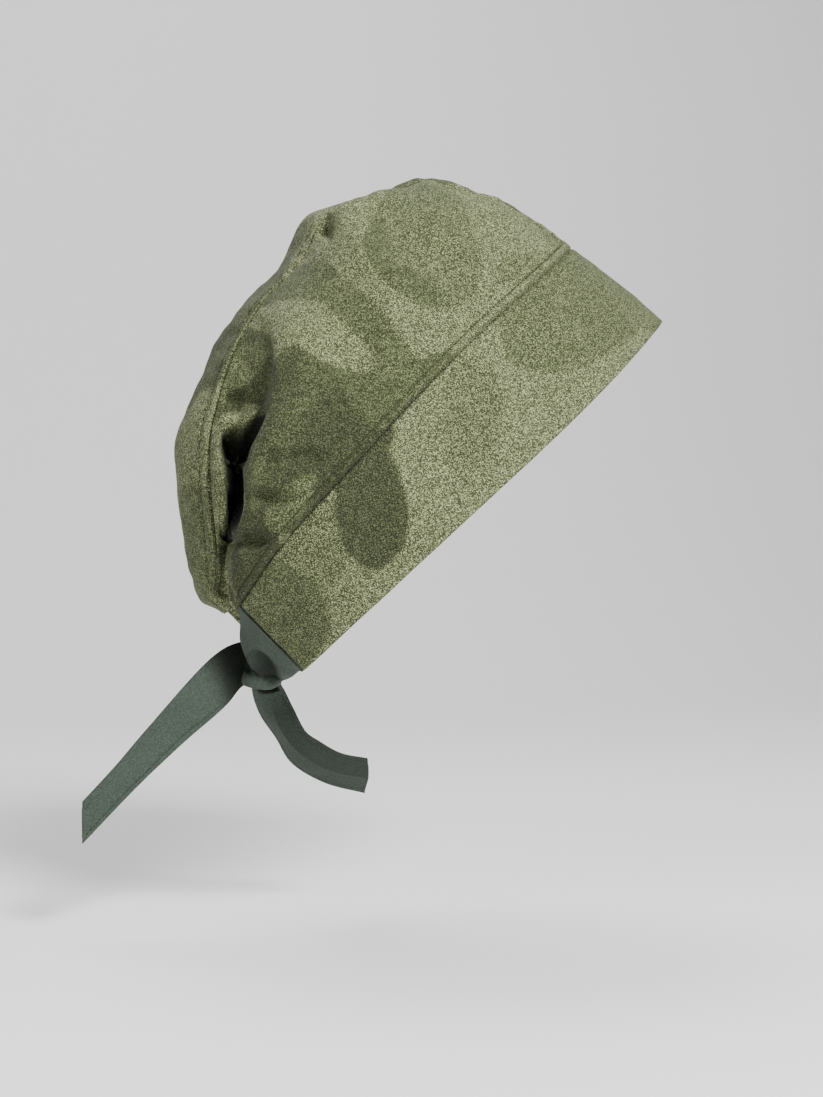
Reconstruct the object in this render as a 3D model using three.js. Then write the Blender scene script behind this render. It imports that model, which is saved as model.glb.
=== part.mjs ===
// Bandana cap: a tie-back cloth cap with a three-panel crown, a wide folded band and two ties
// knotted at the nape. +X is forward, +Y the wearer's left and +Z up, in millimetres. The origin is
// the middle of the head opening.
import * as THREE from 'three';
import { mergeVertices } from 'three/addons/utils/BufferGeometryUtils.js';

// Cloth: one ply in the crown, a folded double ply in the band and the ties
const CROWN_WALL = 1.2;
const BAND_WALL = 2.4;
const TIE_WALL = 1.4;
const SEAM_GAP = 0.35;

// The opening is tipped up at the front. Crown and band are drawn in its own frame, where x runs
// forward along the opening and z stands on it.
const OPENING_TILT = THREE.MathUtils.degToRad(43);
const BAND_END_TURN = 152;
const TIE_GAP_TURN = 0.9;

// Plan of the band's upper seam (rim) and folded lower edge (hem), ovals that widen to the back
const RIM = { centre: -1, reach: 119, halfWidth: 77 };
const HEM = { centre: 3.5, reach: 123, halfWidth: 77.5 };
const OVAL_EGG = 0.05;

// Height of the rim and the hem above the opening, by the turn in degrees from front to nape
const RIM_HEIGHTS = [
  { turn: 0, height: 48 },
  { turn: 40, height: 52 },
  { turn: 70, height: 54.8 },
  { turn: 90, height: 53.8 },
  { turn: 110, height: 50.5 },
  { turn: 130, height: 46 },
  { turn: 150, height: 38 },
  { turn: 180, height: 31 },
];
const HEM_HEIGHTS = [
  { turn: 0, height: -5 },
  { turn: 30, height: -1.5 },
  { turn: 60, height: 0.7 },
  { turn: 100, height: 3 },
  { turn: 130, height: 1.5 },
  { turn: 155, height: -2 },
];

// Behind the band's ends the crown's edge is drawn forward into gathers
const GATHER = { startTurn: 148, fullTurn: 172, pull: 11 };

// Pleats that fan out from the gathers, over the last part of each side panel
const PLEATS = { panelShare: 0.18, fadeShare: 0.1, count: 3, depth: 1.6, height: 26, ribShare: [0.1, 0.5] };

// Ridge of the crown, from the band at the forehead over the top to the nape
const RIDGE = [
  { place: 'front seam', forward: 118, height: 48 },
  { place: 'brow', forward: 113.5, height: 70 },
  { place: 'front of the top', forward: 97, height: 103 },
  { place: 'raised pucker', forward: 83, height: 119.5 },
  { place: 'dip of the top', forward: 63, height: 126 },
  { place: 'pinched corner', forward: 37, height: 138 },
  { place: 'below the corner', forward: 16, height: 131.5 },
  { place: 'upper back', forward: -14, height: 128.5 },
  { place: 'back', forward: -62, height: 111.5 },
  { place: 'fullest back', forward: -82, height: 95 },
  { place: 'foot of the pouch', forward: -111, height: 49 },
  { place: 'gathered edge', forward: -107, height: 31 },
];

// Centre strip: half its width, and how far its edges drop below the ridge, along the ridge
const STRIP = [
  { along: 0, half: 24, drop: 6.4 },
  { along: 0.25, half: 26, drop: 4 },
  { along: 0.65, half: 28, drop: 5 },
  { along: 0.9, half: 25, drop: 4 },
  { along: 1, half: 13, drop: 1 },
];
const STRIP_FRONT_TURN = 19;
const STRIP_BACK_TURN = 170;
const STRIP_END_SHARE = 0.08;

// Side panels: how full the cloth stands between the strip and the band
const TOP_FULLNESS = 0.44;
const RIM_FULLNESS = 0.42;
const PANEL_START = 0.007;
const PANEL_END = 0.99;
const BACK_CROWDING = 0.55;
const SEAM_HOLD = [1, 9];
const EDGE_SHARE = 0.98;
const NORMAL_STEP = 0.004;

// Folds and dents, drawn in the side view of the opening's frame. Depth is inwards, lip outwards
// beside it on the lower side, and taper the share of the length over which a fold fades out. The
// groove and the lip lie either side of a fold's line.
const FOLD_OFFSET = 0.9;
const FOLDS = [
  { side: 'right', from: [-40, 92], to: [-110, 45.5], width: 6.5, depth: 12, lip: 3, taper: 0.3 },
  { side: 'right', from: [-8, 124], to: [-50, 90], width: 9, depth: 3.5, lip: 0, taper: 0.5 },
  { side: 'right', from: [40, 142], to: [18, 116], width: 6, depth: 2.5, lip: 0, taper: 0.6 },
  { side: 'right', from: [-44, 52], to: [-36, 72], width: 7, depth: 2, lip: 1, taper: 0.6 },
  { side: 'right', from: [-78, 47], to: [-68, 60], width: 6, depth: 2, lip: 1, taper: 0.6 },
  { side: 'left', from: [-48, 90], to: [-104, 52], width: 7, depth: 9, lip: 2.5, taper: 0.3 },
  { side: 'left', from: [8, 132], to: [-44, 92], width: 10, depth: 3, lip: 0, taper: 0.5 },
  { side: 'left', from: [-30, 54], to: [-20, 76], width: 8, depth: 2, lip: 1, taper: 0.6 },
];

// Ties: a row for each section, with its upper and lower edge and how far its middle is cupped
const TIE_RIGHT = [
  { upper: [-102, -30, -53], lower: [-78.5, -28, -75], cup: 4 },
  { upper: [-98, -15, -66], lower: [-82.5, -13.5, -75], cup: 4 },
  { upper: [-94, -4, -77], lower: [-83, -3.5, -79], cup: 1.5 },
  { upper: [-92, 0, -85], lower: [-79, -1, -85], cup: 0.5 },
  { upper: [-88, 6, -95], lower: [-74.5, -2, -91], cup: -2 },
  { upper: [-80, 12, -106], lower: [-67.5, 2, -103], cup: -2 },
  { upper: [-72, 17, -118], lower: [-60, 8, -108], cup: -1.5 },
  { upper: [-56, 22, -128], lower: [-49, 14, -114], cup: -1 },
  { upper: [-36, 27, -134], lower: [-36, 20, -117], cup: -0.5 },
];
const TIE_LEFT = [
  { upper: [-91, 26, -61], lower: [-76, 27, -76], cup: -3 },
  { upper: [-86, 13, -71], lower: [-76, 14, -80], cup: -2 },
  { upper: [-78, 4, -76], lower: [-76.5, 4, -81.5], cup: 0 },
  { upper: [-78.5, -8.5, -76.4], lower: [-77.8, -8, -81.4], cup: 0 },
  { upper: [-88.5, -13, -77.8], lower: [-88.5, -12.5, -83], cup: 0 },
  { upper: [-98, -10, -75.5], lower: [-97.5, -9.5, -81.5], cup: 0 },
  { upper: [-101.5, -5, -64.5], lower: [-100, -6.5, -82.5], cup: -1 },
  { upper: [-114.8, -6, -71.4], lower: [-103.6, -6.5, -85], cup: -1 },
  { upper: [-138.6, -10, -97.6], lower: [-127.2, -9, -108.6], cup: -0.5 },
  { upper: [-153.8, -12, -114.8], lower: [-144.6, -11, -124.4], cup: 0 },
  { upper: [-167.5, -14, -129], lower: [-167.5, -14, -147], cup: 0 },
];

// Steps of each wall along its length and across it
const STEPS = {
  side: { along: 44, across: 21 },
  strip: { along: 44, across: 5 },
  band: { along: 56, across: 3 },
  tie: { along: 40, across: 3 },
};

const camouflage = new THREE.MeshStandardMaterial({ color: 0x6b7350, roughness: 0.85, metalness: 0 });
const darkTwill = new THREE.MeshStandardMaterial({ color: 0x3f4a43, roughness: 0.8, metalness: 0 });

const { clamp, degToRad, smoothstep } = THREE.MathUtils;

// Smooth curve through a table's rows, read by the first column
function tableCurve(rows, key, value) {
  const points = rows.map((row) => new THREE.Vector2(row[key], row[value]));
  const curve = new THREE.SplineCurve(points);
  return (at) => {
    const last = rows.length - 1;
    let index = 0;
    while (index < last - 1 && at > rows[index + 1][key]) {
      index += 1;
    }
    const span = rows[index + 1][key] - rows[index][key];
    const share = clamp((at - rows[index][key]) / span, 0, 1);
    return curve.getPoint((index + share) / last).y;
  };
}

const rimHeight = tableCurve(RIM_HEIGHTS, 'turn', 'height');
const hemHeight = tableCurve(HEM_HEIGHTS, 'turn', 'height');
const stripHalf = tableCurve(STRIP, 'along', 'half');
const stripDrop = tableCurve(STRIP, 'along', 'drop');
const ridge = new THREE.CatmullRomCurve3(
  RIDGE.map((row) => new THREE.Vector3(row.forward, 0, row.height)),
  false,
  'centripetal',
);

// A point of an oval at a turn in degrees, positive on the wearer's right
function ovalPoint(oval, turn, height) {
  const angle = degToRad(turn);
  const widening = 1 - OVAL_EGG * Math.cos(angle);
  const forward = oval.centre + oval.reach * Math.cos(angle);
  return new THREE.Vector3(forward, -oval.halfWidth * Math.sin(angle) * widening, height);
}

function rimPoint(turn) {
  return ovalPoint(RIM, turn, rimHeight(Math.abs(turn)));
}

function hemPoint(turn) {
  return ovalPoint(HEM, turn, hemHeight(Math.abs(turn)));
}

// The crown's lower edge follows the rim and is drawn forward into the gathers at the nape
function crownEdge(turn) {
  const point = rimPoint(turn);
  point.x += GATHER.pull * smoothstep(Math.abs(turn), GATHER.startTurn, GATHER.fullTurn);
  return point.addScaledVector(bandFall(turn), -SEAM_GAP);
}

// The way the band falls from the rim to the hem
function bandFall(turn) {
  return hemPoint(turn).sub(rimPoint(turn)).normalize();
}

// Outward direction of the ridge, in the cap's middle plane
function ridgeNormal(along) {
  const tangent = ridge.getTangentAt(along);
  return new THREE.Vector3(tangent.z, 0, -tangent.x);
}

// Centre strip: across runs from the wearer's left edge, -1, to the right edge, 1
function arcPoint(along, across) {
  const point = ridge.getPointAt(along);
  point.y = -stripHalf(along) * across;
  return point.addScaledVector(ridgeNormal(along), -stripDrop(along) * across * across);
}

// The strip's two ends are eased onto the band's seam and onto the gathered edge
function stripPoint(along, across) {
  const frontEdge = crownEdge(STRIP_FRONT_TURN * across);
  const backEdge = crownEdge(Math.sign(across) * 180 - (180 - STRIP_BACK_TURN) * across);
  const front = 1 - smoothstep(along, 0, STRIP_END_SHARE);
  const back = smoothstep(along, 1 - STRIP_END_SHARE, 1);
  return arcPoint(along, across)
    .addScaledVector(frontEdge.sub(arcPoint(0, across)), front)
    .addScaledVector(backEdge.sub(arcPoint(1, across)), back);
}

// Rib of a side panel without folds, from the strip's edge down to the band: side -1 right, 1 left
function plainRib(side, along) {
  const top = stripPoint(along, -side);
  const outward = top.clone().sub(stripPoint(along, -side * EDGE_SHARE)).normalize();
  top.addScaledVector(outward, SEAM_GAP);
  const turn = -side * THREE.MathUtils.lerp(STRIP_FRONT_TURN, STRIP_BACK_TURN, along);
  const foot = crownEdge(turn);
  const length = top.distanceTo(foot);
  const topHandle = top.clone().addScaledVector(outward, TOP_FULLNESS * length);
  const footHandle = foot.clone().addScaledVector(bandFall(turn), -RIM_FULLNESS * length);
  return new THREE.CubicBezierCurve3(top, topHandle, footHandle, foot);
}

// Height of one fold at a point of the side view: a groove with a lip on its lower side
function foldHeight(fold, forward, height) {
  const start = new THREE.Vector2(...fold.from);
  const run = new THREE.Vector2(...fold.to).sub(start);
  const length = run.length();
  run.divideScalar(length);
  const offset = new THREE.Vector2(forward, height).sub(start);
  const share = offset.dot(run) / length;
  const aside = offset.x * -run.y + offset.y * run.x;
  const above = -aside / fold.width;
  const fade = smoothstep(share, 0, fold.taper) * (1 - smoothstep(share, 1 - fold.taper / 2, 1));
  const groove = Math.exp(-((above - FOLD_OFFSET) ** 2));
  const lip = Math.exp(-((above + FOLD_OFFSET) ** 2));
  return fade * (fold.lip * lip - fold.depth * groove);
}

// Pleats that fan out from the gathered edge at the nape
function pleatHeight(along, down, height) {
  const start = 1 - PLEATS.panelShare;
  const gathered = smoothstep(along, start, start + PLEATS.fadeShare) * smoothstep(down, ...PLEATS.ribShare);
  const low = 1 - smoothstep(height, rimHeight(180), rimHeight(180) + PLEATS.height);
  const wave = Math.cos((2 * Math.PI * PLEATS.count * (1 - along)) / PLEATS.panelShare);
  return PLEATS.depth * gathered * low * wave;
}

// Unit normal of a sheet from its two directions
function sheetNormal(sheet, along, across) {
  const alongStart = Math.max(along - NORMAL_STEP, 0);
  const alongEnd = Math.min(along + NORMAL_STEP, 1);
  const acrossStart = Math.max(across - NORMAL_STEP, 0);
  const acrossEnd = Math.min(across + NORMAL_STEP, 1);
  const forward = sheet(alongEnd, across).sub(sheet(alongStart, across));
  const sideways = sheet(along, acrossEnd).sub(sheet(along, acrossStart));
  return forward.cross(sideways).normalize();
}

// Share of the way along a side panel at a step, with the steps closer together at the back. The
// left panel runs the other way, so both panels face outwards.
function panelShare(side, step) {
  const run = side < 0 ? step : 1 - step;
  return THREE.MathUtils.lerp(PANEL_START, PANEL_END, run * (1 + BACK_CROWDING * (1 - run)));
}

// Side panel with its folds, which flatten out towards the two seams that hold it
function sidePanel(side) {
  const name = side < 0 ? 'right' : 'left';
  const folds = FOLDS.filter((fold) => fold.side === name);
  const plain = (step, down) => plainRib(side, panelShare(side, step)).getPoint(down);
  return (step, down) => {
    const along = panelShare(side, step);
    const rib = plainRib(side, along);
    const length = rib.v0.distanceTo(rib.v3);
    const point = rib.getPoint(down);
    let height = pleatHeight(along, down, point.z);
    for (const fold of folds) {
      height += foldHeight(fold, point.x, point.z);
    }
    const held = smoothstep(down * length, ...SEAM_HOLD) * smoothstep((1 - down) * length, ...SEAM_HOLD);
    return point.addScaledVector(sheetNormal(plain, step, down), height * held);
  };
}

function centreStrip(along, across) {
  return stripPoint(along, 2 * across - 1);
}

function bandSheet(around, down) {
  const turn = THREE.MathUtils.lerp(-BAND_END_TURN, BAND_END_TURN, around);
  return rimPoint(turn).lerp(hemPoint(turn), down);
}

// A tie's sewn end goes on from the band's end, a little further round
function tieRows(side, rows) {
  const turn = -side * (BAND_END_TURN + TIE_GAP_TURN);
  const turned = new THREE.Vector3(0, 1, 0);
  const upper = rimPoint(turn).applyAxisAngle(turned, -OPENING_TILT);
  const lower = hemPoint(turn).applyAxisAngle(turned, -OPENING_TILT);
  return [{ upper: upper.toArray(), lower: lower.toArray(), cup: 0 }, ...rows];
}

// Tie: a ribbon between two smooth edges, its middle cupped out of the flat. The left tie is read
// from its lower edge, so both face outwards where they leave the band.
function tieSheet(side, rows) {
  const toCurve = (edge) => new THREE.CatmullRomCurve3(
    rows.map((row) => new THREE.Vector3(...row[edge])),
    false,
    'centripetal',
  );
  const upperEdge = toCurve('upper');
  const lowerEdge = toCurve('lower');
  const cups = new THREE.CatmullRomCurve3(rows.map((row) => new THREE.Vector3(row.cup, 0, 0)));
  return (along, across) => {
    const upper = upperEdge.getPoint(along);
    const lower = lowerEdge.getPoint(along);
    const run = upperEdge.getTangent(along).add(lowerEdge.getTangent(along));
    const out = lower.clone().sub(upper).cross(run).normalize();
    const middle = upper.clone().lerp(lower, 0.5).addScaledVector(out, 2 * cups.getPoint(along).x);
    const ribbon = new THREE.QuadraticBezierCurve3(upper, middle, lower);
    return ribbon.getPoint(side < 0 ? across : 1 - across);
  };
}

// Closed wall of cloth: a box of segments whose outer face follows the sheet
function clothWall(sheet, thickness, steps) {
  const box = new THREE.BoxGeometry(1, 1, 1, steps.along, steps.across, 1);
  box.deleteAttribute('normal');
  box.deleteAttribute('uv');
  const wall = mergeVertices(box);
  const position = wall.getAttribute('position');
  for (let index = 0; index < position.count; index += 1) {
    const along = clamp(position.getX(index) + 0.5, 0, 1);
    const across = clamp(position.getY(index) + 0.5, 0, 1);
    const inner = position.getZ(index) < 0;
    const point = sheet(along, across);
    if (inner) {
      point.addScaledVector(sheetNormal(sheet, along, across), -thickness);
    }
    position.setXYZ(index, point.x, point.y, point.z);
  }
  wall.computeVertexNormals();
  return wall;
}

function piece(name, geometry, material) {
  const mesh = new THREE.Mesh(geometry, material);
  mesh.name = name;
  return mesh;
}

const tilted = new THREE.Group();
tilted.rotation.y = -OPENING_TILT;
tilted.add(
  piece('crown_top_strip', clothWall(centreStrip, CROWN_WALL, STEPS.strip), camouflage),
  piece('crown_side_right', clothWall(sidePanel(-1), CROWN_WALL, STEPS.side), camouflage),
  piece('crown_side_left', clothWall(sidePanel(1), CROWN_WALL, STEPS.side), camouflage),
  piece('band', clothWall(bandSheet, BAND_WALL, STEPS.band), camouflage),
);

const cap = new THREE.Group();
cap.add(
  tilted,
  piece('tie_right', clothWall(tieSheet(-1, tieRows(-1, TIE_RIGHT)), TIE_WALL, STEPS.tie), darkTwill),
  piece('tie_left', clothWall(tieSheet(1, tieRows(1, TIE_LEFT)), TIE_WALL, STEPS.tie), darkTwill),
);

export default cap;
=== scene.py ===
# %% [markdown]
# # A tie-back bandana cap
# The cap is sewn from three crown panels, a wide folded band and two ties that are knotted at the
# nape. Its solids are already packed. Here each of them gets its cloth: finer folds, seams,
# stitches and a printed pattern, all in the same frame. Such cloth could be simulated or sculpted.
# It is worked out by functions instead, because each fold can then be put where the photograph has it
# and moved by changing a number.

import bmesh
import bpy
import numpy as np
from mathutils import Matrix


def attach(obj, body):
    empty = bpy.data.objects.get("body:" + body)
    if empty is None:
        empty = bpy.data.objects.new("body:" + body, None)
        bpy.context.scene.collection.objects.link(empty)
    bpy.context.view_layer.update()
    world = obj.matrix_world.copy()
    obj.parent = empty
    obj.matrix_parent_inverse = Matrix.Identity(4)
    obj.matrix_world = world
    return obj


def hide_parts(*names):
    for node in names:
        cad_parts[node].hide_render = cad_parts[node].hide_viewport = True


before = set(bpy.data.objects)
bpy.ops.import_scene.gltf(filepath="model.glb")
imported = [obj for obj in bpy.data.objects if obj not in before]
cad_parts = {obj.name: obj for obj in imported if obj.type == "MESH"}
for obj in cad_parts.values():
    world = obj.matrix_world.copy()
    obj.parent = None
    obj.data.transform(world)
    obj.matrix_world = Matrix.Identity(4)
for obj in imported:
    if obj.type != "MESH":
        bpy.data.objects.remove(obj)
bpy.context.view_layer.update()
MM = 0.001
print("nodes:", sorted(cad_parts))

# %% [markdown]
# A sewn cap has hardly a straight line, so every surface here is worked out from smooth curves.
# Blender's curve objects could draw them, but a panel has to ask a curve for any place along it.
# These helpers read a curve through a table, ease one value into another, raise a bell round a place
# and find which way a sheet of points faces.

# %% Curves and sheets of points
CURVE_STEPS = 32


def ease(value, low, high):
    share = np.clip((value - low) / (high - low), 0, 1)
    return share * share * (3 - 2 * share)


def bell(value, middle, width):
    return np.exp(-((value - middle) / width)**2)


def hermite(start, end, leave, arrive, share):
    cube, square = share**3, share**2
    return (start * (2 * cube - 3 * square + 1) + end * (3 * square - 2 * cube)
            + leave * (cube - 2 * square + share) + arrive * (cube - square))


def read_table(keys, values, at):
    keys, values = np.array(keys, float), np.array(values, float)
    at = np.asarray(at, float)
    index = np.clip(np.searchsorted(keys, at, side="right") - 1, 0, len(keys) - 2)
    share = np.clip((at - keys[index]) / (keys[index + 1] - keys[index]), 0, 1)
    before = values[np.maximum(index - 1, 0)]
    after = values[np.minimum(index + 2, len(keys) - 1)]
    start, end = values[index], values[index + 1]
    return hermite(start, end, (end - before) / 2, (after - start) / 2, share)


def curve_through(points):
    points = np.array(points, float)
    padded = np.vstack([2 * points[0] - points[1], points, 2 * points[-1] - points[-2]])
    share = np.arange(CURVE_STEPS)[:, None] / CURVE_STEPS
    spans = []
    for before, start, end, after in zip(padded, padded[1:], padded[2:], padded[3:]):
        first, middle, last = (np.sqrt(np.linalg.norm(b - a)) + 1e-9
                               for a, b in ((before, start), (start, end), (end, after)))
        leave = (start - before) / first - (end - before) / (first + middle) + (end - start) / middle
        arrive = (end - start) / middle - (after - start) / (middle + last) + (after - end) / last
        spans.append(hermite(start, end, leave * middle, arrive * middle, share))
    return np.vstack(spans + [points[-1:]])


def read_curve(curve, keys, at):
    return np.stack([np.interp(at, keys, column) for column in curve.T], -1)


def run_length(points):
    return np.concatenate([[0], np.cumsum(np.linalg.norm(np.diff(points, axis=0), axis=1))])


def unit(vectors):
    return vectors / np.maximum(np.linalg.norm(vectors, axis=-1, keepdims=True), 1e-9)


def facing(sheet):
    return unit(np.cross(np.gradient(sheet, axis=0), np.gradient(sheet, axis=1)))


print("a table reads between its rows:", read_table([0, 1, 2], [0, 1, 4], 1.5))

# %% [markdown]
# The rim is where crown and band are sewn together, the hem the band's folded lower edge. Both are
# ovals whose height changes on the way round. A formula gives them at any turn: 0 is the front and
# 180 the nape, and it counts up on the cap's right. Sizes are in millimetres, in the frame of the
# opening, which is tipped up at the front: the first number runs forward along the opening, the
# third stands on it. Most are those of the solids, so the cloth lies where they are. Only at the nape
# the crown's edge is drawn in further and sags, as soft cloth does where it is gathered.

# %% Rim and hem
RIM = {"centre": -1, "reach": 119, "half_width": 77}
HEM = {"centre": 3.5, "reach": 123, "half_width": 77.5}
OVAL_EGG = 0.05
RIM_HEIGHTS = {"turn": [0, 40, 70, 90, 110, 130, 150, 180],
               "height": [48, 52, 54.8, 53.8, 50.5, 46, 38, 31]}
HEM_HEIGHTS = {"turn": [0, 30, 60, 100, 130, 155],
               "height": [-5, -1.5, 0.7, 3, 1.5, -2]}
SEAM_GAP = 0.35
GATHER = {"start_turn": 148, "full_turn": 172, "pull": 9.5, "lift": 3.5}
NAPE_SAG = {"turn": 159, "reach": 5, "depth": 6.5}


def oval_point(oval, turn, height):
    angle = np.radians(turn)
    side = -oval["half_width"] * np.sin(angle) * (1 - OVAL_EGG * np.cos(angle))
    return np.stack([oval["centre"] + oval["reach"] * np.cos(angle), side, height], -1)


def rim_point(turn):
    return oval_point(RIM, turn, read_table(*RIM_HEIGHTS.values(), np.abs(turn)))


def hem_point(turn):
    return oval_point(HEM, turn, read_table(*HEM_HEIGHTS.values(), np.abs(turn)))


def band_fall(turn):
    return unit(hem_point(turn) - rim_point(turn))


def crown_edge(turn):
    edge = rim_point(turn) - SEAM_GAP * band_fall(turn)
    gathered = ease(np.abs(turn), GATHER["start_turn"], GATHER["full_turn"])
    edge[..., 0] += GATHER["pull"] * gathered
    sag = NAPE_SAG["depth"] * bell(np.abs(turn), NAPE_SAG["turn"], NAPE_SAG["reach"])
    edge[..., 2] += GATHER["lift"] * gathered - sag
    return edge


print("rim length to width:", round(RIM["reach"] / RIM["half_width"], 2))

# %% [markdown]
# The ridge is the crown's middle line, from the front over the top to the nape, with soft corners on
# the way. The centre strip lies across it and drops towards its edges. A curve object with a bevel
# could make it, but its two ends have to meet the rim, so its points are worked out and eased onto
# the rim. along goes from 0 at the front to 1 at the nape, across from -1 at the strip's left edge to
# 1 at its right edge.

# %% Ridge and centre strip
RIDGE = {"forward": [118, 113.5, 97, 83, 63, 37, 16, -14, -62, -82, -111, -107],
         "height": [48, 70, 103, 119.5, 126, 138, 131.5, 128.5, 111.5, 95, 49, 31]}
STRIP = {"along": [0, 0.25, 0.6, 0.7, 0.8, 0.9, 1],
         "half": [24, 26, 28, 28, 27, 25, 13],
         "drop": [6.4, 4, 5, 8.5, 9.5, 8, 1]}
STRIP_FRONT_TURN = 19
STRIP_BACK_TURN = 170
STRIP_END_SHARE = 0.08
ridge = curve_through([[f, 0, h] for f, h in zip(RIDGE["forward"], RIDGE["height"])])
ridge_share = run_length(ridge) / run_length(ridge)[-1]
ridge_way = unit(np.gradient(ridge, axis=0))


def arc_point(along, across):
    along, across = np.broadcast_arrays(along, across)
    point = read_curve(ridge, ridge_share, along)
    way = unit(read_curve(ridge_way, ridge_share, along))
    normal = np.stack([way[..., 2], 0 * along, -way[..., 0]], -1)
    drop = read_table(STRIP["along"], STRIP["drop"], along) * across**2
    point[..., 1] = -read_table(STRIP["along"], STRIP["half"], along) * across
    return point - normal * drop[..., None]


def strip_point(along, across):
    along, across = np.broadcast_arrays(np.asarray(along, float), np.asarray(across, float))
    front_edge = crown_edge(STRIP_FRONT_TURN * across)
    back_edge = crown_edge(np.sign(across) * 180 - (180 - STRIP_BACK_TURN) * across)
    front = 1 - ease(along, 0, STRIP_END_SHARE)
    back = ease(along, 1 - STRIP_END_SHARE, 1)
    return (arc_point(along, across)
            + (front_edge - arc_point(0 * along, across)) * front[..., None]
            + (back_edge - arc_point(0 * along + 1, across)) * back[..., None])


print("ridge length in mm:", round(run_length(ridge)[-1]))

# %% [markdown]
# A side panel fills the cap's side between the strip and the rim. It could be pulled into shape from
# a patch by hand, but it has to meet both seams all along, so it is a row of ribs. Each rib leaves the
# strip sideways, bends over and comes down onto the rim in line with the band. The ribs stand closer
# at the back, where the folds are. side is -1 for the cap's right and 1 for its left.

# %% Ribs of a side panel
TOP_FULLNESS = 0.44
RIM_FULLNESS = 0.42
PANEL_START = 0.007
PANEL_END = 0.996
BACK_CROWDING = 0.55
EDGE_SHARE = 0.98


def panel_share(steps):
    run = np.linspace(0, 1, steps)
    return PANEL_START + (PANEL_END - PANEL_START) * run * (1 + BACK_CROWDING * (1 - run))


def plain_panel(side, along, down):
    top = strip_point(along, 0 * along - side)
    outward = unit(top - strip_point(along, 0 * along - side * EDGE_SHARE))
    top = top + SEAM_GAP * outward
    turn = -side * (STRIP_FRONT_TURN + (STRIP_BACK_TURN - STRIP_FRONT_TURN) * along)
    foot = crown_edge(turn)
    length = np.linalg.norm(foot - top, axis=-1, keepdims=True)
    top_handle = top + TOP_FULLNESS * length * outward
    foot_handle = foot - RIM_FULLNESS * length * band_fall(turn)
    d = down[None, :, None]
    ends = (1 - d)**3 * top[:, None] + d**3 * foot[:, None]
    return ends + 3 * (1 - d)**2 * d * top_handle[:, None] + 3 * (1 - d) * d**2 * foot_handle[:, None]


print("ribs ready:", plain_panel(-1, panel_share(5), np.linspace(0, 1, 4)).shape)

# %% [markdown]
# Worn cloth falls into folds. A simulation would find its own, and these had to follow the photograph,
# so each fold is a line drawn in the side view of the cap, with a groove on its upper side and a lip
# that rolls over the groove from below. The deep one on the right opens into a dark pocket and runs
# down the side into the nape. width, depth, lip and roll are in millimetres. The left side can't be
# seen in the photograph, so its folds are fewer and shallower.

# %% Folds of the side panels
FOLD_COLUMNS = ("forward", "height", "width", "depth", "lip", "roll")
DEEP_FOLD = [
    (-13, 125, 9, 0.5, 0.2, 0),
    (-22, 111, 10, 3, 1.2, 0),
    (-33, 100, 10, 6, 1.6, 0),
    (-42, 93.5, 8, 8, 2, 0.2),
    (-45, 91.5, 7.5, 26, 2.4, 0.4),
    (-50, 89, 6.6, 32, 2.6, 0.6),
    (-62, 83, 3.9, 28, 2.8, 0.6),
    (-72, 74, 2.6, 22, 2.6, 0.6),
    (-79, 67, 2.6, 14, 2.2, 0.5),
    (-88, 61, 3.2, 9, 1.8, 0.3),
    (-98, 54, 3.8, 7, 1.4, 0),
    (-105, 45, 4, 6, 1, 0),
    (-108, 39, 4, 3, 0.6, 0),
]
RIGHT_FOLDS = {
    "hollow under the corner": [(25, 123, 5, 0.3, 0.1, 0), (27, 129, 5, 4.5, 0.6, 0),
                                (29, 135, 5, 3.5, 0.4, 0)],
    "seam dent, middle": [(-34, 58, 6, 0.3, 0.1, 0), (-47, 61, 6, 3, 1, 0), (-60, 69, 6, 0.3, 0.1, 0)],
    "seam dent, back": [(-58, 53, 6, 0.3, 0.1, 0), (-69, 58, 6, 4, 1.2, 0), (-77, 64, 6, 0.3, 0.1, 0)],
    "seam dent, nape": [(-76, 47, 7, 0.3, 0.1, 0), (-86, 51, 7, 5, 1.4, 0), (-94, 54, 7, 0.3, 0.1, 0)],
    "nape groove": [(-96, 53, 1.6, 0.3, 0.3, 0), (-100, 49, 1.6, 2, 0.8, 0), (-106, 39, 1.6, 1.5, 0.6, 0)],
    "long soft fall": [(28, 96, 14, 0.3, 0.1, 0), (4, 80, 14, 1.2, 0.8, 0), (-22, 64, 14, 0.3, 0.1, 0)],
    "dent above the fold": [(-32, 96, 6, 0.5, 0, 0), (-44, 97, 6, 3, 0.5, 0), (-57, 101, 6, 0.5, 0, 0)],
    "pouch crease": [(-70, 104, 5, 0.3, 0.2, 0), (-86, 84, 5, 1.5, 0.9, 0.2), (-98, 66, 5, 0.4, 0.3, 0)],
    "deep side fold": DEEP_FOLD,
}
LEFT_FOLDS = {
    "deep side fold": [(-30, 104, 8, 0.5, 0.2, 0), (-50, 90, 7, 9, 2.5, 2), (-78, 72, 6, 11, 3, 2.5),
                       (-104, 48, 4, 2, 0.6, 0.3)],
    "upper dent": [(10, 132, 10, 0.5, 0.2, 0), (-16, 112, 10, 3, 1, 0), (-42, 92, 10, 0.5, 0.2, 0)],
    "seam dent": [(-14, 58, 6, 0.5, 0.2, 0), (-28, 66, 6, 2.4, 1.2, 0.3), (-40, 74, 6, 0.5, 0.2, 0)],
    "long soft fall": [(60, 84, 14, 0.3, 0.1, 0), (36, 74, 14, 1.4, 0.8, 0), (10, 62, 14, 0.3, 0.1, 0)],
}
print("folds on the right:", ", ".join(RIGHT_FOLDS))

# %% [markdown]
# A fold could be pressed in with the sculpt brushes. Here a function does it, so that it can be done
# again. Every point of a panel looks for its nearest place on the fold's line, whose sizes there say
# how far the point sinks, rises or rolls. A shallow fold sinks straight into the panel, a deep one is
# tucked in sideways, behind its own lip. Then its points are relaxed, so that no edge is sharp.

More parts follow.
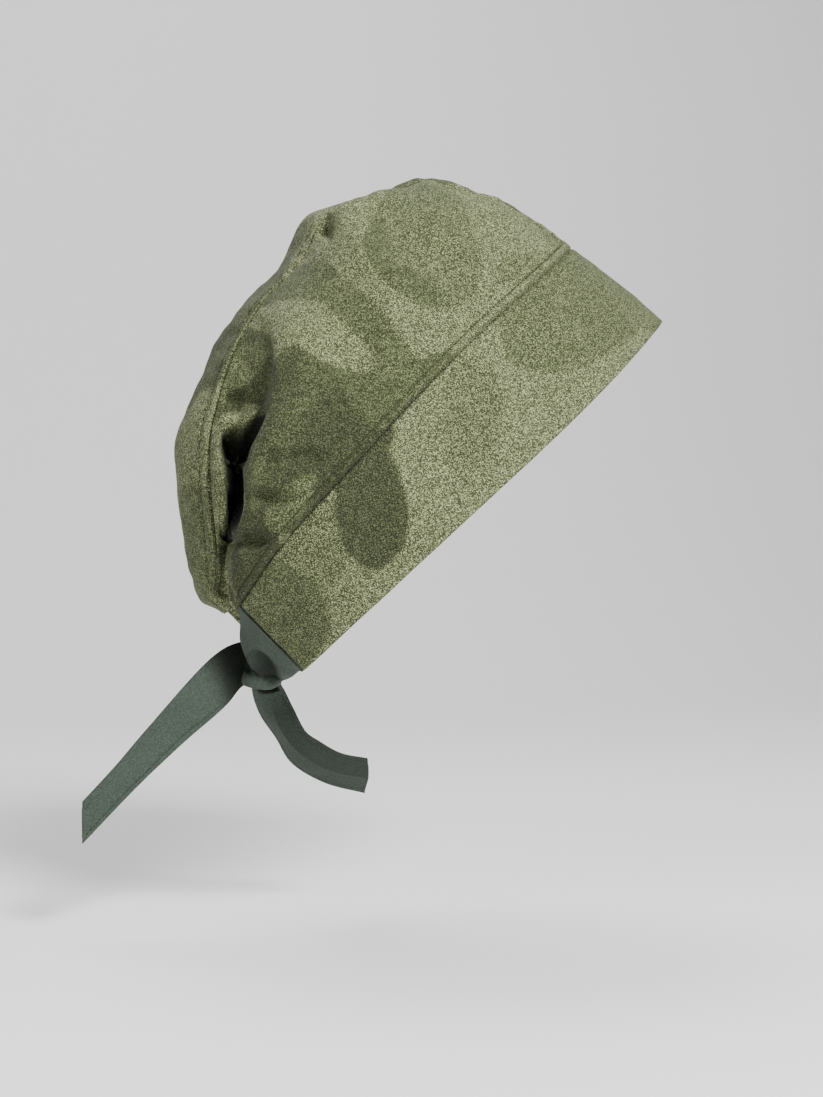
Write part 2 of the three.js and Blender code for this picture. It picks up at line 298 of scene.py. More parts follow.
# %% Press a fold into a sheet
LINE_THINNING = 4
MOUTH_SLANT = 1.1
END_FADE = 4
TUCK_DEPTH = (3, 9)
TUCK_LEAN = 0.75
CROWDING = {"share": 0.65, "reach": 12}
GROOVE = {"near": (-0.15, 0.3), "far": 0.9, "shallow_end": 1.7, "tucked_share": 0.45}
LIP = {"place": -0.8, "width": 0.9}
ROLL = {"place": -0.35, "width": 0.75}
RELAXING = {"rounds": 10, "share": 0.5, "held": (0.3, 1)}


def nearest_place(line, length, forward, height):
    best = np.full(forward.shape, np.inf)
    at = 0 * forward
    for start, end, begin in zip(line, line[1:], length):
        span = end[:2] - start[:2]
        ahead, above = forward - start[0], height - start[1]
        share = np.clip((ahead * span[0] + above * span[1]) / (span @ span), 0, 1)
        apart = np.hypot(ahead - share * span[0], above - share * span[1])
        closer = apart < best
        best[closer] = apart[closer]
        at[closer] = begin + share[closer] * np.hypot(*span)
    return at, best


def fold_place(rows, forward, height):
    line = curve_through(rows)[::LINE_THINNING]
    length = run_length(line[:, :2])
    at, apart = nearest_place(line, length, forward, height)
    way = unit(read_curve(unit(np.gradient(line[:, :2], axis=0)), length, at))
    upward = np.stack([way[..., 1], -way[..., 0]], -1)
    offset = np.stack([forward, height], -1) - read_curve(line[:, :2], length, at)
    aside = np.sum(offset * upward, -1)
    past_end = np.sqrt(np.maximum(apart**2 - aside**2, 0))
    sizes = read_curve(line, length, at - MOUTH_SLANT * np.maximum(aside, 0))
    named_sizes = dict(zip(FOLD_COLUMNS, np.moveaxis(sizes, -1, 0)))
    return aside, upward, bell(past_end, 0, END_FADE), named_sizes


def relax(sheet, amount):
    for _ in range(RELAXING["rounds"]):
        around = sheet[:-2, 1:-1] + sheet[2:, 1:-1] + sheet[1:-1, :-2] + sheet[1:-1, 2:]
        pull = RELAXING["share"] * amount[1:-1, 1:-1, None]
        sheet[1:-1, 1:-1] += pull * (around / 4 - sheet[1:-1, 1:-1])
    return sheet


def press_fold(sheet, rows, held, side):
    aside, upward, within, size = fold_place(rows, sheet[..., 0], sheet[..., 2])
    held = held * within
    tucked = ease(size["depth"], *TUCK_DEPTH)
    normal = facing(sheet)
    slope = np.stack([upward[..., 0], 0 * aside, upward[..., 1]], -1)
    slope = slope - normal * np.sum(slope * normal, -1, keepdims=True)
    near = bell(aside, 0, CROWDING["reach"])
    crowd = CROWDING["share"] * tucked * near * held
    sheet = sheet - slope * (aside * crowd)[..., None]
    across = aside * (1 - crowd) / size["width"]
    groove_end = GROOVE["shallow_end"] - GROOVE["tucked_share"] * tucked
    groove = ease(across, *GROOVE["near"]) * (1 - ease(across, GROOVE["far"], groove_end))
    lip = bell(across, LIP["place"], LIP["width"])
    roll = bell(across, ROLL["place"], ROLL["width"])
    under = unit(np.array([0, -side, 0]) - TUCK_LEAN * slope)
    inward = unit(under * tucked[..., None] - normal * (1 - tucked[..., None]))
    sunk = size["depth"] * groove * held
    sheet = (sheet + normal * (size["lip"] * lip * held)[..., None] + inward * sunk[..., None]
             + slope * (size["roll"] * roll * held)[..., None])
    return relax(sheet, tucked * near * ease(held, *RELAXING["held"])), sunk


print("rows of the deep fold:", len(DEEP_FOLD))

# %% [markdown]
# The print is a tonal camouflage: soft leaves of darker and lighter olive. An image could hold it, but
# ovals stay sharp at any size and can be moved one by one. Each leaf is an oval in the cut panel, with
# its middle, its length and width in millimetres, the way it points in degrees and its tone from 0,
# dark, to 1, light. Panels are cut apart, so the print breaks at the seams.

# %% Leaves of the print
RIGHT_LEAVES = [
    (171, 24, 82, 70, 0, 0.26), (162, 12, 62, 28, 175, 0.08), (180, 78, 46, 50, 0, 0.26),
    # The dark leaf at 230 along, low at the nape, is print and painted shade together
    (199, 58, 26, 20, 60, 0.97), (230, 12, 54, 38, 0, 0.1), (132, 12, 46, 32, 90, 0.3),
    (138, 84, 56, 25, 68, 0.36), (126, 52, 54, 16, 69, 0.41),
    (121, 20, 60, 16, 88, 0.4), (116, 2, 34, 14, 10, 0.4), (144, 58, 76, 18, 69, 0.97),
    (75, 47, 68, 52, 105, 0.55), (95, 57, 30, 14, 125, 0.38), (94, 35, 36, 14, 66, 0.38),
    (44, 10, 32, 13, 10, 0.6), (4, 8, 30, 20, 60, 0.6), (193, 9, 28, 11, 170, 0.47),
    (222, 40, 40, 22, 70, 0.62), (186, 84, 50, 24, 30, 0.5), (246, 22, 40, 16, 95, 0.45),
]
BAND_LEAVES = [
    (54, 18, 116, 56, 0, 0.52), (20, 38, 50, 36, 0, 0.56), (140, 20, 50, 26, 40, 0.6),
    (226, 10, 44, 32, 10, 0.55), (228, 34, 26, 11, 0, 0.75), (264, 16, 52, 50, 0, 0.36),
    (100, 47, 60, 10, 0, 0.95), (197, 16, 53, 29, 51, 0.1), (180, 0, 26, 16, 10, 0.1),
]
STRIP_LEAVES = [
    (20, 30, 60, 40, 20, 0.5), (66, 12, 44, 26, 60, 0.34), (92, 46, 70, 24, 15, 0.36),
    (140, 20, 52, 30, 80, 0.6), (192, 34, 84, 64, 0, 0.34), (243, 50, 44, 30, 0, 0.92),
    (262, 10, 56, 30, 30, 0.4), (294, 46, 54, 40, 0, 0.5), (322, 24, 36, 30, 0, 0.5),
]
print("leaves charted:", len(RIGHT_LEAVES) + len(BAND_LEAVES) + len(STRIP_LEAVES))

# %% [markdown]
# Each leaf is laid over those before it, with a soft edge that wavers. Where the print can't be seen
# in the photograph, leaves of the same sizes are strewn by a seeded hand, so every run gives the same
# cap. The ripple that makes the edges waver is a sum of sine waves. It also makes the cloth uneven.

# %% Lay the leaves
LEAF_SIZES = {"length": (36, 74), "width": (16, 34), "tones": (0.22, 0.42, 0.5, 0.97), "stray": 12}
LEAF_EDGE = 1.3
LEAF_WAVER = {"depth": 1.1, "run_wave": 48, "run_seed": 3, "rise_wave": 44, "rise_seed": 4}
GROUND_TONE = 0.86
RIPPLE = {"waves": 8, "spread": (0.7, 1.5)}


def ripple(run, rise, wave, seed):
    hand = np.random.default_rng(seed)
    total = 0 * run
    for _ in range(RIPPLE["waves"]):
        angle, phase = hand.uniform(0, 2 * np.pi, 2)
        length = wave * hand.uniform(*RIPPLE["spread"])
        total = total + np.sin((run * np.cos(angle) + rise * np.sin(angle)) * 2 * np.pi / length + phase)
    return total / RIPPLE["waves"]**0.5


def strewn_leaves(runs, rises, spacing, seed):
    hand = np.random.default_rng(seed)
    stray = LEAF_SIZES["stray"]
    rows = []
    for run in np.arange(*runs, spacing):
        for rise in np.arange(*rises, spacing):
            place = (run + hand.uniform(-stray, stray), rise + hand.uniform(-stray, stray))
            size = (hand.uniform(*LEAF_SIZES["length"]), hand.uniform(*LEAF_SIZES["width"]))
            rows.append((*place, *size, hand.uniform(0, 180), hand.choice(LEAF_SIZES["tones"])))
    return rows


def print_tone(run, rise, leaves):
    run = run + LEAF_WAVER["depth"] * ripple(run, rise, LEAF_WAVER["run_wave"], LEAF_WAVER["run_seed"])
    rise = rise + LEAF_WAVER["depth"] * ripple(run, rise, LEAF_WAVER["rise_wave"], LEAF_WAVER["rise_seed"])
    tone = 0 * run + GROUND_TONE
    for place, height, length, width, turn, shade in leaves:
        angle = np.radians(turn)
        x = (run - place) * np.cos(angle) + (rise - height) * np.sin(angle)
        y = (rise - height) * np.cos(angle) - (run - place) * np.sin(angle)
        inside = (1 - np.hypot(2 * x / length, 2 * y / width)) * width / 2
        tone = tone + (shade - tone) * ease(inside, -LEAF_EDGE, LEAF_EDGE)
    return tone


print("leaves on a test patch:", len(strewn_leaves(runs=(0, 100), rises=(0, 100), spacing=50, seed=1)))

# %% [markdown]
# Every panel of the cap is one piece of cloth. It could be shaped first and unwrapped later, but here
# it starts as a flat grid whose corners move onto the worked-out sheet. So its UV map keeps each
# corner's place in the cut, and the weave follows the cut as it does on the real cap. A solidify
# modifier gives it its thickness to the inside. The inner face takes the second material, which is the
# cloth's paler reverse on crown and band.

# %% Make a cloth piece from a sheet
OPENING_TILT = np.radians(43)
SEWN = {}


def to_frame(sheet):
    x, y, z = np.moveaxis(sheet, -1, 0)
    turn_x = x * np.cos(OPENING_TILT) - z * np.sin(OPENING_TILT)
    return np.stack([turn_x, y, x * np.sin(OPENING_TILT) + z * np.cos(OPENING_TILT)], -1)


def new_piece(name, bm):
    mesh = bpy.data.meshes.new(name)
    bm.to_mesh(mesh)
    bm.free()
    piece = bpy.data.objects.new(name, mesh)
    bpy.context.scene.collection.objects.link(piece)
    return piece


def cloth(name, sheet, cut, tone, wall):
    SEWN[name] = (sheet, cut)
    columns, rows = sheet.shape[:2]
    bm = bmesh.new()
    bmesh.ops.create_grid(bm, x_segments=columns - 1, y_segments=rows - 1, size=1)
    tones = bm.verts.layers.float.new("tone")
    uv = bm.loops.layers.uv.new("cut")
    places = {}
    for vert in bm.verts:
        place = (round((vert.co.x + 1) / 2 * (columns - 1)), round((vert.co.y + 1) / 2 * (rows - 1)))
        places[vert] = place
        vert[tones] = tone[place]
    for face in bm.faces:
        face.smooth = True
        for loop in face.loops:
            loop[uv].uv = cut[places[loop.vert]] * MM
    for vert, place in places.items():
        vert.co = sheet[place] * MM
    piece = new_piece(name, bm)
    solid = piece.modifiers.new("cloth thickness", "SOLIDIFY")
    solid.thickness = wall * MM
    solid.offset = -1
    solid.material_offset = 1
    print(name, "faces:", columns * rows)
    return piece


print("the opening is tipped by", round(np.degrees(OPENING_TILT)), "degrees")

# %% [markdown]
# Sewing shapes the cloth near a seam. Along the band the allowance inside makes a raised welt beside a
# sunk line of stitches, and along the strip the thread draws the cloth into small puckers. A bump in
# the material could draw them, but real ones catch the light by their shape, so they are part of the
# sheet. Every seam lies in a dip. A side panel's outermost row of points is its allowance, turned in
# behind the piece it is sewn to.

# %% Seams and puckers
SEAM_CROWDING = 0.55
ALLOWANCE = {"reach": 3, "strip": 2.8, "band": 3.2, "band_end": 0.86}
SEAM_DIP = {"depth": 1.3, "reach": 0.7}
WELT = {"place": 2.1, "width": 1.2, "height": 1.1, "line": 4, "line_width": 0.5, "line_depth": 0.8}
PUCKER = {"wave": 9, "drift": 2, "drift_wave": 40, "depth": 0.16, "place": 3, "reach": 9}


def seam_crowded(steps):
    even = np.linspace(0, 1, steps)
    return even - SEAM_CROWDING * np.sin(2 * np.pi * even) / (2 * np.pi)


def allowance(edge, beside, normal, depth):
    return edge + ALLOWANCE["reach"] * unit(edge - beside) - depth * normal


def seam_dip(apart):
    return SEAM_DIP["depth"] * bell(apart, 0, SEAM_DIP["reach"])


def welt_height(apart, size):
    ridge_line = size["height"] * bell(apart, size["place"], size["width"])
    sunk = size["line_depth"] * bell(apart, size["line"], size["line_width"])
    return ridge_line - sunk - seam_dip(apart)


def pucker_height(run, top, seed):
    drift = PUCKER["drift"] * ripple(run, 0 * run, PUCKER["drift_wave"], seed)
    wave = np.sin(2 * np.pi * run / PUCKER["wave"] + drift)
    near = bell(top, PUCKER["place"], PUCKER["reach"])
    return PUCKER["depth"] * wave * near * ease(top, 0, PUCKER["place"])


print("welt above the band's seam in mm:", WELT["height"])

# %% [markdown]
# The right panel puffs up beside the strip's seam in two places, and at the front corner a pinch draws
# that seam down. Both panels are gathered into pleats at the nape. Each of these is a small lift or
# drop that is added to the plain panel, because then it can be put where the photograph has it. Places
# along a panel count from 0 at the front to 1 at the nape.

# %% Puffs, pinch and pleats
PUFF_COLUMNS = ("start", "end", "peak", "height")
PUFFS = [(0.27, 0.405, 0.1, 5), (0.118, 0.182, 0.05, 2.6)]
PUFF_FLAT = 0.3
PINCH = {"along": [0, 0.03, 0.1, 0.135, 0.165, 0.185, 0.215, 0.245],
         "drop": [0, 1, 1.2, 1, 3, 3.8, 2, 0]}
PINCH_REACH = 10
PINCH_SHADE = {"share": 1.3, "drop": (1.3, 3.4), "reach": 1.6}
PLEATS = {"start": 0.85, "full": 0.92, "waves": 36, "lean": 0.0008, "depth": 0.7, "foot": 4, "reach": 20}


def puff_height(along, down, side):
    lift = 0 * along[:, None] * down
    for row in PUFFS if side < 0 else []:
        puff = dict(zip(PUFF_COLUMNS, row))
        off_middle = np.abs(2 * along - puff["start"] - puff["end"]) / (puff["end"] - puff["start"])
        length = 1 - ease(off_middle, PUFF_FLAT, 1)
        lift = lift + puff["height"] * length[:, None] * bell(down, puff["peak"], puff["peak"])
    return lift


def pinch(along, apart):
    drop = np.interp(along, PINCH["along"], PINCH["drop"]) * (1 - ease(apart, 0, PINCH_REACH))
    return drop[..., None] * np.array([-np.sin(OPENING_TILT), 0, -np.cos(OPENING_TILT)])


# Painted shade: where the pinch draws the seam deep, the tone along it is lowered
def pinch_shade(along, apart):
    drop = np.interp(along, PINCH["along"], PINCH["drop"])
    near = bell(apart, 0, PINCH_SHADE["reach"])
    return PINCH_SHADE["share"] * ease(drop, *PINCH_SHADE["drop"]) * near


def pleat_height(along, rise):
    gathered = ease(along, PLEATS["start"], PLEATS["full"])[:, None]
    gathered = gathered * (1 - ease(rise, PLEATS["foot"], PLEATS["reach"]))
    wave = np.cos(2 * np.pi * PLEATS["waves"] * (along[:, None] + PLEATS["lean"] * rise))
    return PLEATS["depth"] * gathered * wave


print("puffs:", len(PUFFS), "deepest pinch in mm:", max(PINCH["drop"]))

# %% [markdown]
# Now a side panel is put together from its ribs, waves, seams and folds. Near its seams the cloth is
# held, so folds and waves fade out there. A place in the cut is how far it is along the rim and above
# it. Deep in a fold the tone goes below 0, which the material reads as shade, because light alone
# leaves the pocket greyer than it is in the photograph.

# %% Side panels
CROWN_WALL = 1.2
PANEL_STEPS = {-1: (320, 140), 1: (200, 90)}
STRIP_HOLD = (0.4, 4)
RIM_HOLD = (3.5, 8)
WAVE_COLUMNS = ("wave", "depth", "seed")
SOFT_WAVES = [(55, 0.9, 11), (24, 0.4, 12), (11, 0.14, 13)]
WAVE_FADE = {"strip": (0, 6), "rim": (2, 10)}
PUFF_FADE = (0, 4)
FOLD_SHADE = {"share": 1.6, "depth": (6, 14)}


def soft_waves(rows, run, rise, seed):
    waves = [dict(zip(WAVE_COLUMNS, row)) for row in rows]
    return sum(w["depth"] * ripple(run, rise, w["wave"], seed + w["seed"]) for w in waves)


def panel_cut(sheet):
    rib = np.linalg.norm(np.diff(sheet, axis=1), axis=-1)
    below = np.concatenate([np.cumsum(rib[:, ::-1], axis=1)[:, ::-1], 0 * rib[:, :1]], axis=1)
    foot = run_length(sheet[:, -1])
    return np.stack(np.broadcast_arrays(foot[:, None], below), -1)


def side_panel(name, side, folds, leaves, seed):
    steps = PANEL_STEPS[side]
    along, down = panel_share(steps[0]), seam_crowded(steps[1])
    if side > 0:
        along = along[::-1]
    sheet = plain_panel(side, along, down)
    cut = panel_cut(sheet if side < 0 else sheet[::-1])
    cut = cut if side < 0 else cut[::-1]
    run, rise = cut[..., 0], cut[..., 1]
    top = rise[:, :1] - rise
    tone = print_tone(run, rise, leaves)
    if side < 0:
        sheet = sheet + pinch(along[:, None], top)
        # Painted shade along the pinched seam
        tone = tone - pinch_shade(along[:, None], top)
    plain, normal = sheet.copy(), facing(sheet)
    held = ease(top, *STRIP_HOLD) * ease(rise, *RIM_HOLD)
    lift = pleat_height(along, rise) + soft_waves(SOFT_WAVES, run, rise, seed)
    lift = lift * ease(top, *WAVE_FADE["strip"]) * ease(rise, *WAVE_FADE["rim"])
    lift = lift + puff_height(along, down, side) * ease(top, *PUFF_FADE)
    lift = lift + welt_height(rise, WELT) + pucker_height(run, top, seed) - seam_dip(top)
    sheet = sheet + facing(sheet) * lift[..., None]
    for rows in folds.values():
        sheet, sunk = press_fold(sheet, rows, held, side)
        tone = tone - FOLD_SHADE["share"] * ease(sunk, *FOLD_SHADE["depth"])
    sheet[:, 0] = allowance(plain[:, 0], plain[:, 1], normal[:, 0], ALLOWANCE["strip"])
    banded = along < ALLOWANCE["band_end"]
    sheet[banded, -1] = allowance(plain[banded, -1], plain[banded, -2], normal[banded, -1], ALLOWANCE["band"])
    return cloth(name, to_frame(sheet), cut, tone, CROWN_WALL)


left_leaves = strewn_leaves(runs=(0, 280), rises=(0, 110), spacing=42, seed=5)
right = side_panel("crown_side_right_cloth", -1, RIGHT_FOLDS, RIGHT_LEAVES, seed=20)
left = side_panel("crown_side_left_cloth", 1, LEFT_FOLDS, left_leaves, seed=40)

# %% [markdown]
# The centre strip runs from the front over the top to the nape. It could be part of the side panels'
# grid, but it is cut apart on the real cap, so it is a sheet of its own and the print breaks at its
# seams. Its long edges have a flatter welt and a second row of stitches. At the front corner it is
# drawn down with the right panel, and its front end is turned in behind the band.

# %% Centre strip
STRIP_STEPS = (320, 60)
STRIP_WELT = {"place": 2.2, "width": 1.4, "height": 0.6, "line": 6, "line_width": 0.6, "line_depth": 1.0}
STRIP_FADE = {"edge": (2, 10), "end": (2, 12)}
STRIP_MIDDLE = 30


def centre_strip(name, leaves, seed):
    along = np.linspace(0, 1, STRIP_STEPS[0])[:, None]
    across = 2 * seam_crowded(STRIP_STEPS[1])[None, :] - 1
    half = read_table(STRIP["along"], STRIP["half"], along)
    right_edge = half * (1 - across)
    sheet = strip_point(along, across) + pinch(along, right_edge)
    front = allowance(sheet[0], sheet[1], facing(sheet)[0], ALLOWANCE["band"])
    run = run_length(sheet[:, STRIP_STEPS[1] // 2])[:, None] + 0 * across
    side = half * across
    edge = half - np.abs(side)
    lift = soft_waves(SOFT_WAVES, run, side, seed) * ease(edge, *STRIP_FADE["edge"])
    lift = lift * ease(run, *STRIP_FADE["end"]) * ease(run[-1:] - run, *STRIP_FADE["end"])
    lift = lift + welt_height(edge, STRIP_WELT) + pucker_height(run, edge + 0 * run, seed)
    sheet = sheet + facing(sheet) * lift[..., None]
    sheet[0] = front
    cut = np.stack([run, side], -1)
    # The strip's edge gets the same painted shade along the pinched seam
    tone = print_tone(run, side + STRIP_MIDDLE, leaves) - pinch_shade(along, right_edge)
    return cloth(name, to_frame(sheet), cut, tone, CROWN_WALL)


strip = centre_strip("crown_top_strip_cloth", STRIP_LEAVES, seed=60)

# %% [markdown]
# The band is a long strip of cloth folded in two, with the fold as its lower edge. It could be two
# layers, but they lie close together, so it is one sheet of twice the thickness. It hangs in gentle
# waves and is drawn in a little along its sewn edge. The charted leaves of its right half blend into
# the strewn ones of its left half at the front.

# %% Band
BAND_WALL = 2.4
BAND_END_TURN = 152
BAND_STEPS = (420, 44)
BAND_WAVES = [(70, 0.7, 1), (26, 0.22, 2), (11, 0.07, 3)]
BAND_TUCK = {"reach": 1.6, "depth": 0.7}
BAND_FADE = {"seam": (0, 12), "end_turn": 8}
FRONT_BLEND = (-20, 10)


def band_piece(name, seed):
    turn = np.linspace(-BAND_END_TURN, BAND_END_TURN, BAND_STEPS[0])
    down = np.linspace(0, 1, BAND_STEPS[1])[None, :, None]
    rim, hem = rim_point(turn), hem_point(turn)
    sheet = rim[:, None] * (1 - down) + hem[:, None] * down
    front = np.argmin(np.abs(turn))
    run = (run_length(rim) - run_length(rim)[front])[:, None] + 0 * down[..., 0]
    fall = np.linalg.norm(hem - rim, axis=1)[:, None] * down[..., 0]
    lift = soft_waves(BAND_WAVES, run, fall, seed) * ease(fall, *BAND_FADE["seam"])
    lift = lift * (1 - ease(np.abs(turn), BAND_END_TURN - BAND_FADE["end_turn"], BAND_END_TURN))[:, None]
    lift = lift - BAND_TUCK["depth"] * (1 - ease(fall, 0, BAND_TUCK["reach"]))
    sheet = sheet + facing(sheet) * lift[..., None]
    right_tone = print_tone(run, fall, BAND_LEAVES)
    left_tone = print_tone(run, fall, strewn_leaves(runs=(-290, 20), rises=(0, 60), spacing=44, seed=9))
    tone = left_tone + (right_tone - left_tone) * ease(run, *FRONT_BLEND)
    return cloth(name, to_frame(sheet), np.stack([run, fall], -1), tone, BAND_WALL)


band = band_piece("band_cloth", seed=80)

# %% [markdown]
# The ties are ribbons of plain dark twill, sewn to the band's ends. A simulated knot would hardly stop
# where it is wanted, so each tie is a row of sections, given one by one: a point of the upper
# edge, one of the lower edge, and how far the ribbon cups out of the flat between them, here in the
# cap's own frame. The right one narrows into the knot, the left one wraps round it, and both ends
# hang free.

# %% Sections of the ties
TIE_RIGHT = [
    ((-101.7, -28, -52.4), (-76.6, -31, -73.7), -4), ((-100.7, -21, -60.8), (-78.7, -25, -76.4), -6),
    ((-97.6, -15, -66.3), (-80, -18, -78), -5), ((-94.5, -10, -73), (-81, -13, -79), -2),
    ((-93, -5, -79), (-81, -7, -80.6), -1), ((-92.5, -1, -84.3), (-79, -4, -82.6), -1.5),
    ((-88, 6, -95), (-74.5, -2, -91), -2), ((-80, 12, -106), (-67.5, 2, -103), -2),
    ((-72, 17, -118), (-60, 8, -108), -1.5),
    ((-56, 22, -128), (-49, 14, -114), -1), ((-36, 27, -134), (-36, 20, -117), -0.5),
]
TIE_LEFT = [
    ((-91, 31, -52), (-79, 32, -73), 1), ((-86, 22, -59), (-77, 24, -76), 1),
    ((-83, 13, -69), (-77, 14, -80), 1), ((-82, 2, -76.7), (-80, 2, -80.5), 0),
    ((-83.5, -11, -77.3), (-83.5, -11, -80.3), -0.9), ((-88.5, -17.5, -77.4), (-88.5, -17.5, -81.3), -1.3),
    ((-93, -16.5, -76.4), (-93.5, -16.5, -80.8), -1.3), ((-96, -12, -76.6), (-96.8, -12, -79.8), -0.9),
    ((-93.5, -2, -70), (-94, -4, -80), 0), ((-92, 1, -62.5), (-94.5, -3, -80), -2),
    ((-99, -3, -63), (-98.5, -6, -81), -2.5), ((-109, -6, -67), (-104.3, -6.5, -88.5), -1),
    ((-138.6, -10, -97.6), (-127.2, -9, -108.6), 1.2), ((-153.8, -12, -114.8), (-144.6, -11, -124.4), 0.6),
    ((-167.5, -14, -129), (-167.5, -14, -147), 0.3),
]
print("sections:", len(TIE_RIGHT), "right,", len(TIE_LEFT), "left")

# %% [markdown]
# Above the knot the right tie's middle is tucked in to a pocket, and its free end has a crease along
# its middle. Both ties get painted shade near the knot, darkest in the pocket, and the right one on
# its free end too. More sections could shape the pocket, but a step across the ribbon is easier to
# move. Places along a tie are run, in millimetres from the band, and share goes from 0 at the upper
# edge to 1 at the lower.

# %% Pocket, crease and shade of the ties
POCKET = {"start": 6.5, "rise": 12, "centre": 0.53, "half": 0.34, "step": (-0.2, 1.2), "depth": 8}
POCKET_EDGES = {"upper": (0.05, 0.5), "lower": (0.84, 0.95), "end": (38, 44)}
POCKET_SHADE = {"least": 0.25, "lower": 0.4, "lower_share": (0.3, 0.7), "slot": 0.9, "slot_run": (22, 25)}
TAIL_CREASE = {"run": (44, 56), "height": 2.2, "shade": (0.3, 0.5)}
TAIL_SHADE = {"deepens": (88, 96), "fades": (96, 116), "share": 0.8}


def pocket_share(run, share):
    onset = POCKET["start"] + POCKET["rise"] * ((share - POCKET["centre"]) / POCKET["half"])**2
    within = ease(share, *POCKET_EDGES["upper"]) * (1 - ease(share, *POCKET_EDGES["lower"]))
    within = within * (1 - ease(run, *POCKET_EDGES["end"]))
    return ease(run - onset, *POCKET["step"]) * within


def tie_shade(side, run, share):
    if side > 0:
        return TAIL_SHADE["share"] * (ease(run, *TAIL_SHADE["deepens"]) - ease(run, *TAIL_SHADE["fades"]))
    lower = POCKET_SHADE["lower"] * ease(share, *POCKET_SHADE["lower_share"])
    slot = POCKET_SHADE["slot"] * ease(run, *POCKET_SHADE["slot_run"])
    crease = ease(run, *TAIL_CREASE["run"]) * np.where(share < 0.5, *TAIL_CREASE["shade"])
    return pocket_share(run, share) * (POCKET_SHADE["least"] + lower + slot) + crease


print("pocket depth in mm:", POCKET["depth"])

# %% [markdown]
# A tie is swept along its sections by a formula and not along a curve object, because its two edges go
# their own ways. It starts a little past the band's end, and its free end has a hem with a sunk line
# for the stitches. side is -1 for the right tie and 1 for the left.

# %% Ties
TIE_WALL = 1.4
TIE_STEPS = (320, 40)
TIE_GAP_TURN = 0.9
SEWN_INSET = {-1: 0, 1: 0.42}
TAIL_START = {-1: 46, 1: 108}
TIE_HEM = {"place": 2.2, "width": 0.6, "depth": 0.3, "fade": 10}
TIE_WAVE = {"depth": 0.35, "wave": 30, "edge": (0, 5)}


def tie_piece(name, side, rows, seed):
    turn = np.array(-side * (BAND_END_TURN + TIE_GAP_TURN))
    rim, hem = to_frame(rim_point(turn)), to_frame(hem_point(turn))
    rows = [(rim + SEWN_INSET[side] * (hem - rim), hem, 0), *rows]
    upper, lower = (curve_through([row[edge] for row in rows]) for edge in (0, 1))
    cup = curve_through([[row[2]] for row in rows])
    keys = run_length((upper + lower) / 2)
    along = np.linspace(0, keys[-1], TIE_STEPS[0])
    upper, lower, cup = (read_curve(line, keys, along) for line in (upper, lower, cup))
    way = np.gradient(upper, axis=0) + np.gradient(lower, axis=0)
    middle = (upper + lower) / 2 + 2 * cup * unit(np.cross(lower - upper, way))
    share = np.linspace(0, 1, TIE_STEPS[1])[::-side][None, :, None]
    sheet = ((1 - share)**2 * upper[:, None] + 2 * share * (1 - share) * middle[:, None]
             + share**2 * lower[:, None])
    share = share[..., 0]
    run = along[:, None] + 0 * share
    wide = np.linalg.norm(lower - upper, axis=1)[:, None]
    edge = wide * (0.5 - np.abs(share - 0.5))
    sunk = TIE_HEM["depth"] * bell(edge, TIE_HEM["place"], TIE_HEM["width"])
    lift = TIE_WAVE["depth"] * ripple(run, wide * share, TIE_WAVE["wave"], seed)
    lift = lift * ease(edge, *TIE_WAVE["edge"])
    lift = lift - sunk * ease(run, TAIL_START[side], TAIL_START[side] + TIE_HEM["fade"])
    if side < 0:
        sheet[..., 1] += POCKET["depth"] * pocket_share(run, share)
        lift = lift + TAIL_CREASE["height"] * ease(run, *TAIL_CREASE["run"]) * (1 - np.abs(2 * share - 1))
    sheet = sheet + facing(sheet) * lift[..., None]
    # The ties carry no print: their tone is only painted shade, below 0 in the pocket, near the knot and
    # along the right one's free end
    tone = -tie_shade(side, run, share)
    return cloth(name, sheet, np.stack([run, wide * share], -1), tone, TIE_WALL)


tie_right = tie_piece("tie_right_cloth", -1, TIE_RIGHT, seed=100)
tie_left = tie_piece("tie_left_cloth", 1, TIE_LEFT, seed=120)

# %% [markdown]
# A finish could be painted as an image. Here it is worked out from shader nodes, which stay sharp at
# any distance. One small function adds a node with its settings and links, another turns a screen
# colour into the linear one that light is counted in. dye mixes a new colour in where a value passes
# through a range.

# %% Nodes for the finishes
def linear(colour):
    channels = [int(colour[i:i + 2], 16) / 255 for i in (1, 3, 5)]
    return [c / 12.92 if c <= 0.04045 else ((c + 0.055) / 1.055)**2.4 for c in channels] + [1]


def add_node(tree, kind, sockets=(), **settings):
    made = tree.nodes.new(kind)
    for key, value in settings.items():
        setattr(made, key, value)
    for key, value in dict(sockets).items():
        if isinstance(value, bpy.types.NodeSocket):
            tree.links.new(value, made.inputs[key])
        else:
            made.inputs[key].default_value = value
    return made


def new_material(name):
    material = bpy.data.materials.new(name)
    material.use_nodes = True
    material.node_tree.nodes.clear()
    return material, material.node_tree


def fading(value, fade, share):
    (low, high), (start, end) = fade, share
    return {"Value": value, "From Min": low, "From Max": high, "To Min": start, "To Max": end}


def dye(tree, colour, new_colour, value, fade, share=(0, 1)):
    amount = add_node(tree, "ShaderNodeMapRange", fading(value, fade, share),
                      interpolation_type="SMOOTHSTEP")
    mixed = add_node(tree, "ShaderNodeMix", {0: amount.outputs["Result"], 6: colour, 7: new_colour},
                     data_type="RGBA")
    return mixed.outputs[2]


print("a screen's middle grey is", round(linear("#808080")[0], 3), "in light")

# %% [markdown]
# All the cap's cloth is woven. Twill has slanting ribs, and single threads that are paler or darker
# than the rest make a grain. An image of real cloth would repeat, so the ribs are waves across the cut
# and the grain is made of small cells. Real threads are about 0.4 mm apart. That is too fine to show in
# the render, so the ribs are drawn 1.1 mm apart, and the grain's cells are a third of a millimetre.
# Blender's wave texture turns 20 radians in each unit of its scale, which is allowed for.

# %% Weave and grain
WEAVE = {"spacing": 1.1, "distortion": 1.5, "detail": 1.0}
WAVE_TEXTURE_RATE = 20
GRAIN = 0.33
CLOTH_SKIN = {"bump": 0.6, "specular": 0.25, "sheen_roughness": 0.5}


